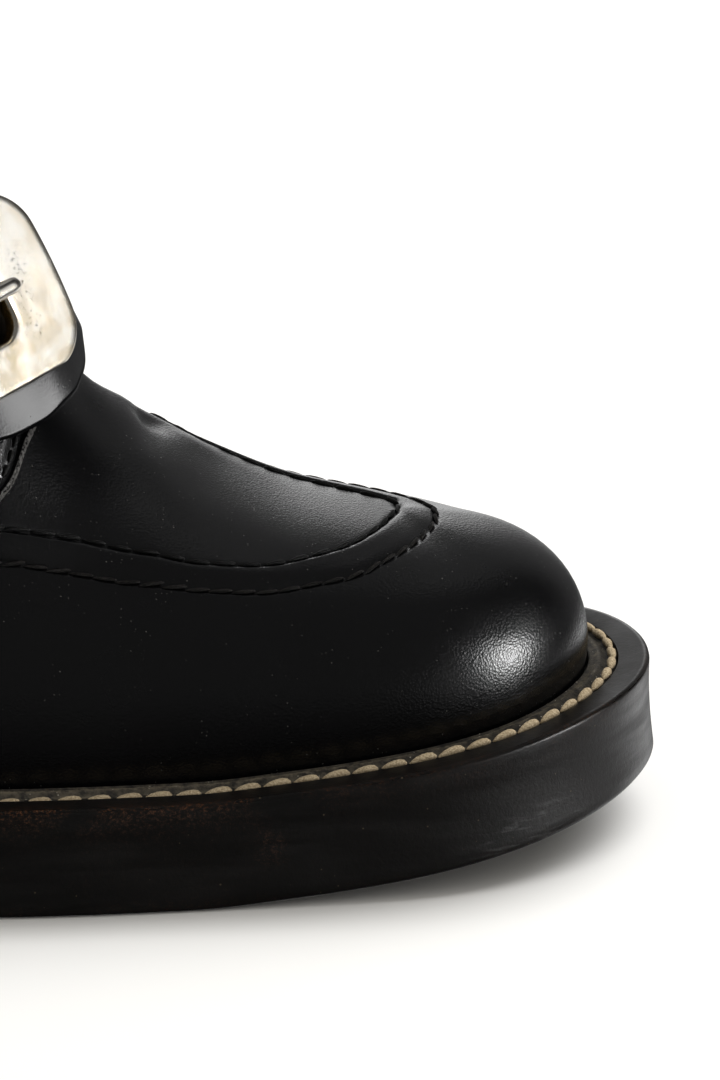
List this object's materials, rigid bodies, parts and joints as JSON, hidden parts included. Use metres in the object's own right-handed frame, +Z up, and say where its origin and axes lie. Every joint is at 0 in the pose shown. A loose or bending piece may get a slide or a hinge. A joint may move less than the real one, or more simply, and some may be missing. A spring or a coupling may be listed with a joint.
{
  "type": "buckled leather shoe",
  "caption": "Black leather right shoe with a rounded apron toe, a broad instep strap with a metal plate buckle, a stitched welt and a thick rimmed sole with a block heel.",
  "frame": {"origin": "on the floor, under the middle of the sole's length and width", "axes": "+X towards the toe, +Y towards the inner (medial) side of the foot, +Z up"},
  "size_m": [0.2818, 0.1048, 0.1182],
  "materials": {
    "black_leather": "polished smooth black leather",
    "sole_edge": "stained and waxed black sole edge",
    "welt_strip": "dusty dull welt leather",
    "insole_leather": "plain lining leather",
    "polished_metal": "polished, a little tarnished"
  },
  "bodies": {
    "root": {"outsole": "sole_edge", "heel": "sole_edge", "welt": "welt_strip", "insole": "insole_leather", "upper": "black_leather", "strap": "black_leather", "buckle_plate": "polished_metal", "buckle_bar": "polished_metal", "buckle_prong": "polished_metal"}
  },
  "joints": []
}
